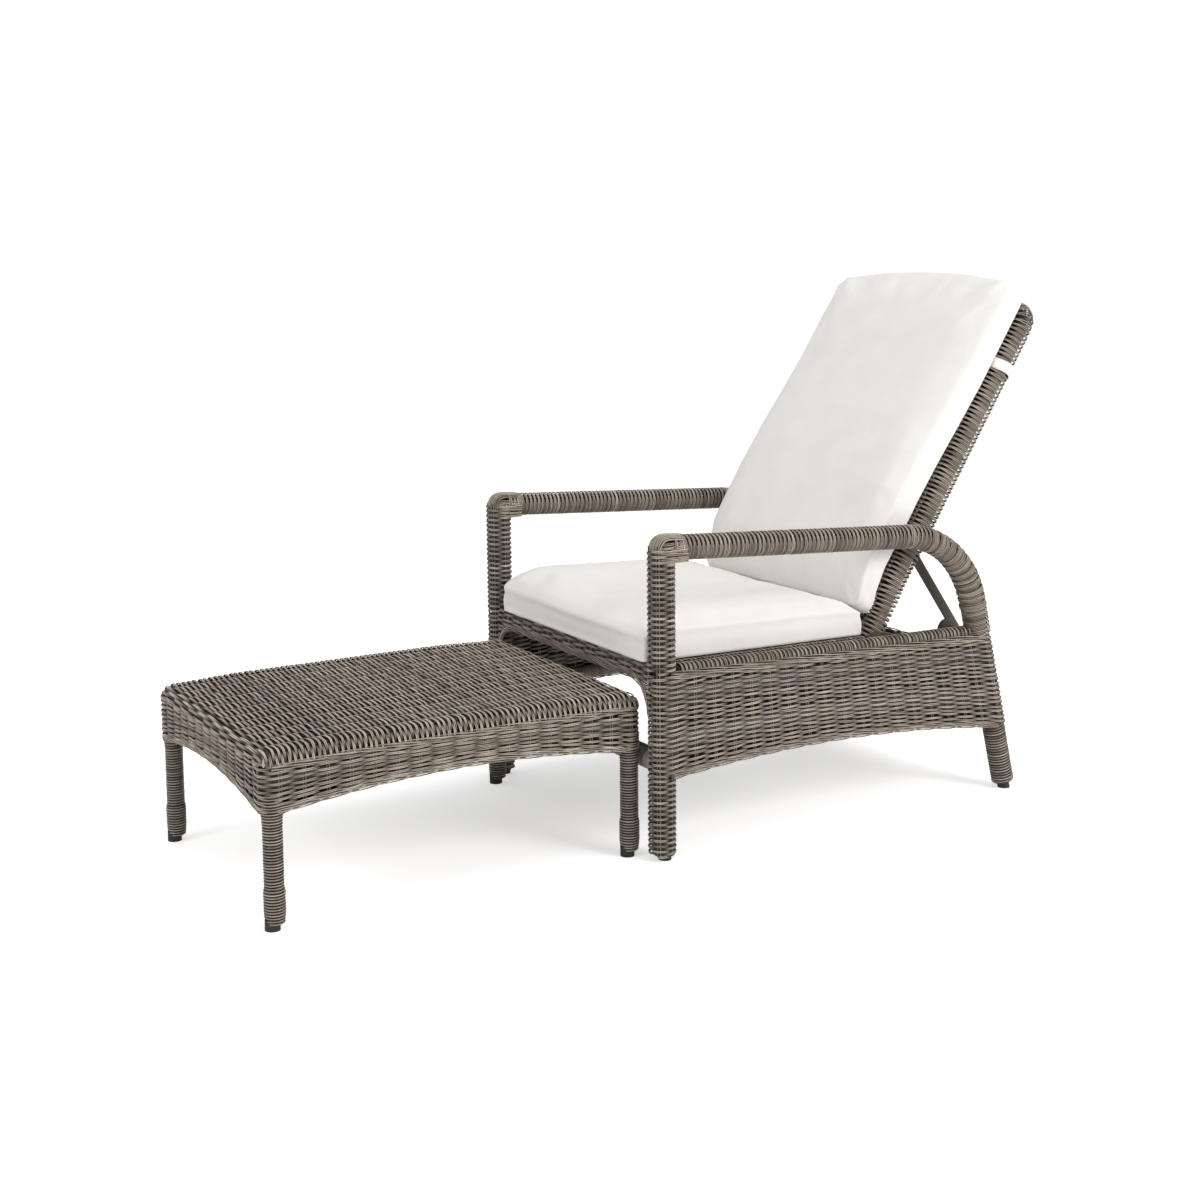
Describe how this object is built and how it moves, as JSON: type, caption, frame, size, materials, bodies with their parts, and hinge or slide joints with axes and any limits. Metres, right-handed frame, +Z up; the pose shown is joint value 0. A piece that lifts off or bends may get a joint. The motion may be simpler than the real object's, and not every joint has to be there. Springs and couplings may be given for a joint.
{
  "type": "sun chair",
  "caption": "woven reclining sun chair with arms, raked rear legs, loose cushions and a matching footstool in front of it",
  "frame": {"origin": "on the floor, under the middle of the box of the chair and footstool together", "axes": "+X to the sitter's left, +Y towards the back of the chair, +Z up"},
  "size_m": [0.722, 1.8056, 1.1325],
  "materials": {
    "strand": "round extruded resin strand, grey-brown, slight sheen",
    "frame_tube": "brown powder coat on aluminium tube",
    "bracket": "dark brown paint",
    "pin": "plain stainless steel",
    "bush": "moulded nylon",
    "cap": "moulded black rubber",
    "cushion": "off-white outdoor canvas over a fibre fill",
    "strap": "off-white woven tape"
  },
  "bodies": {
    "chair": {"side_tube_left": "frame_tube", "side_tube_right": "frame_tube", "seat_rail_tubes": "frame_tube", "lower_rail_tubes": "frame_tube", "front_rail_tube": "frame_tube", "front_stretcher_tube": "frame_tube", "rear_rail_tube": "frame_tube", "rear_stretcher_tube": "frame_tube", "hinge_cross_bar": "frame_tube", "seat_cross_bars": "frame_tube", "front_post_wrap_left": "strand", "front_post_wrap_right": "strand", "arm_wrap_left": "strand", "arm_wrap_right": "strand", "rear_leg_wrap_left": "strand", "rear_leg_wrap_right": "strand", "foot_caps": "cap", "seat_rail_wrap_left": "strand", "seat_rail_wrap_right": "strand", "front_rail_wrap": "strand", "lower_rail_wrap_left": "strand", "lower_rail_wrap_right": "strand", "front_stretcher_wrap": "strand", "rear_rail_wrap": "strand", "rear_stretcher_wrap": "strand", "side_panel_left": "strand", "side_panel_right": "strand", "front_apron": "strand", "rear_panel": "strand", "seat_deck": "strand", "hinge_brackets": "bracket", "hinge_pins": "pin", "prop_racks": "bracket", "rack_studs": "bracket", "seat_cushion": "cushion"},
    "backrest": {"back_tube": "frame_tube", "back_bottom_rail": "frame_tube", "back_middle_rail": "frame_tube", "stile_wrap_left": "strand", "stile_wrap_right": "strand", "top_rail_wrap": "strand", "back_panel": "strand", "back_cushion": "cushion", "cushion_straps": "strap"},
    "prop": {"prop_arm_left": "bracket", "prop_arm_right": "bracket", "prop_cross_tube": "bracket", "prop_pivot_pins": "pin", "prop_bushes": "bush", "prop_foot_pins": "pin"},
    "footstool": {"stool_leg_tubes": "frame_tube", "stool_side_rails": "frame_tube", "stool_end_rails": "frame_tube", "stool_cross_bars": "frame_tube", "stool_leg_wraps": "strand", "stool_foot_caps": "cap", "stool_side_bands": "strand", "stool_end_bands": "strand", "stool_top": "strand"}
  },
  "joints": [
    {"name": "back_recline", "type": "hinge", "parent": "chair", "child": "backrest", "pos_m": [0, 0.44415, 0.3584], "axis": [1, 0, 0], "range_deg": [0, 16]},
    {"name": "prop_swing", "type": "hinge", "parent": "backrest", "child": "prop", "pos_m": [0, 0.57205, 0.5546], "axis": [1, 0, 0], "range_deg": [-29.5, 0]},
    {"name": "footstool_slide", "type": "slide", "parent": "chair", "child": "footstool", "axis": [0, 1, 0], "range_m": [-0.3, 0]}
  ],
  "couplings": [
    {"joint": "prop_swing", "follows": "back_recline", "ratio": -1.84}
  ]
}
